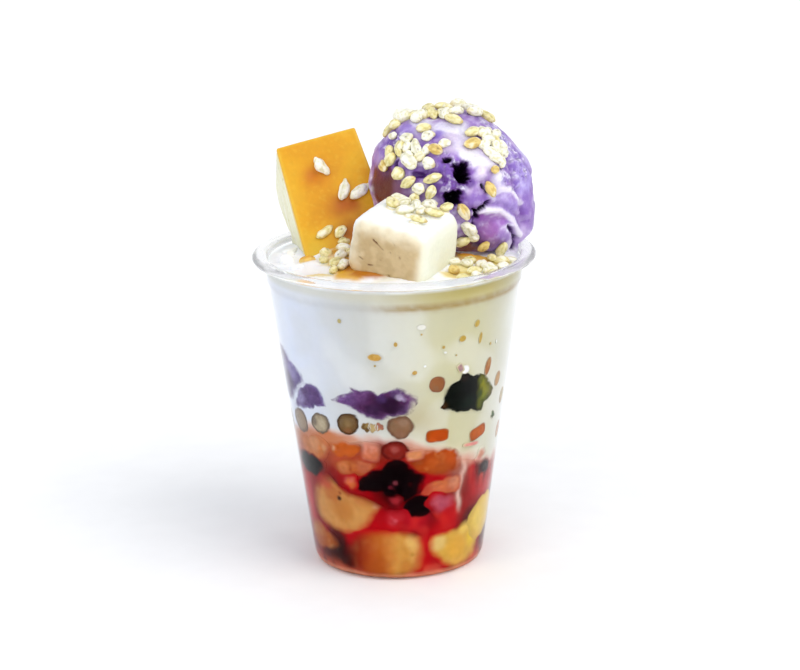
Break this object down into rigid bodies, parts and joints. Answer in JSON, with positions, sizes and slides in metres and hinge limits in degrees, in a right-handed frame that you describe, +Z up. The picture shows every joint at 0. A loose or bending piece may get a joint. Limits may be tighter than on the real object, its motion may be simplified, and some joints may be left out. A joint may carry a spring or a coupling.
{
  "type": "halo-halo dessert in a clear cup",
  "caption": "Clear tapered plastic cup of layered red syrup, fruit and milk, topped with ube ice cream, leche flan and a coconut pudding cube.",
  "frame": {"origin": "centre of the cup's base, at the height of the surface it stands on", "axes": "+Z up along the cup's axis; +X to the right and -Y to the front, where the pudding cube is"},
  "size_m": [0.0981, 0.0978, 0.1593],
  "materials": {
    "cup_plastic": "clear thermoformed PET plastic, glossy",
    "milk": "shaved ice soaked in evaporated milk, wet",
    "syrup": "red sugar syrup, clear and wet",
    "ube_ice_cream": "ube ice cream marbled with white, with toasted rice",
    "custard": "steamed egg custard, moist",
    "caramel": "caramel-soaked top of the custard, wet",
    "pudding": "coconut milk pudding, fine pores on its cut faces",
    "ube": "boiled purple yam, crumbly",
    "green_jelly": "dark green jelly, clear at its edges",
    "tapioca": "boiled tapioca pearl, translucent",
    "red_tapioca": "red tapioca pearl, translucent",
    "fruit_jelly": "orange fruit jelly, wet",
    "sweet_bean": "red bean boiled in syrup, glossy",
    "banana": "banana boiled in syrup, moist"
  },
  "bodies": {
    "root": {"banana_slice_1": "banana", "banana_slice_2": "banana", "banana_slice_3": "banana", "banana_slice_4": "banana", "banana_slice_5": "banana", "banana_slice_6": "banana", "banana_slice_7": "banana", "banana_slice_8": "banana", "coconut_pudding": "pudding", "cup": "cup_plastic", "flan_caramel": "caramel", "fruit_jelly_1": "fruit_jelly", "fruit_jelly_2": "fruit_jelly", "fruit_jelly_3": "fruit_jelly", "fruit_jelly_4": "fruit_jelly", "fruit_jelly_5": "fruit_jelly", "fruit_jelly_6": "fruit_jelly", "fruit_jelly_7": "fruit_jelly", "green_jelly_1": "green_jelly", "green_jelly_2": "green_jelly", "leche_flan": "custard", "milk": "milk", "red_pearl_1": "red_tapioca", "red_pearl_2": "red_tapioca", "sweet_bean_1": "sweet_bean", "sweet_bean_2": "sweet_bean", "sweet_bean_3": "sweet_bean", "sweet_bean_4": "sweet_bean", "sweet_bean_5": "sweet_bean", "sweet_bean_6": "sweet_bean", "syrup": "syrup", "tapioca_pearl_1": "tapioca", "tapioca_pearl_2": "tapioca", "tapioca_pearl_3": "tapioca", "tapioca_pearl_4": "tapioca", "tapioca_pearl_5": "tapioca", "tapioca_pearl_6": "tapioca", "tapioca_pearl_7": "tapioca", "tapioca_pearl_8": "tapioca", "tapioca_pearl_9": "tapioca", "ube_chunk_1": "ube", "ube_chunk_2": "ube", "ube_chunk_3": "ube", "ube_chunk_4": "ube", "ube_chunk_5": "ube", "ube_scoop": "ube_ice_cream"}
  },
  "joints": []
}
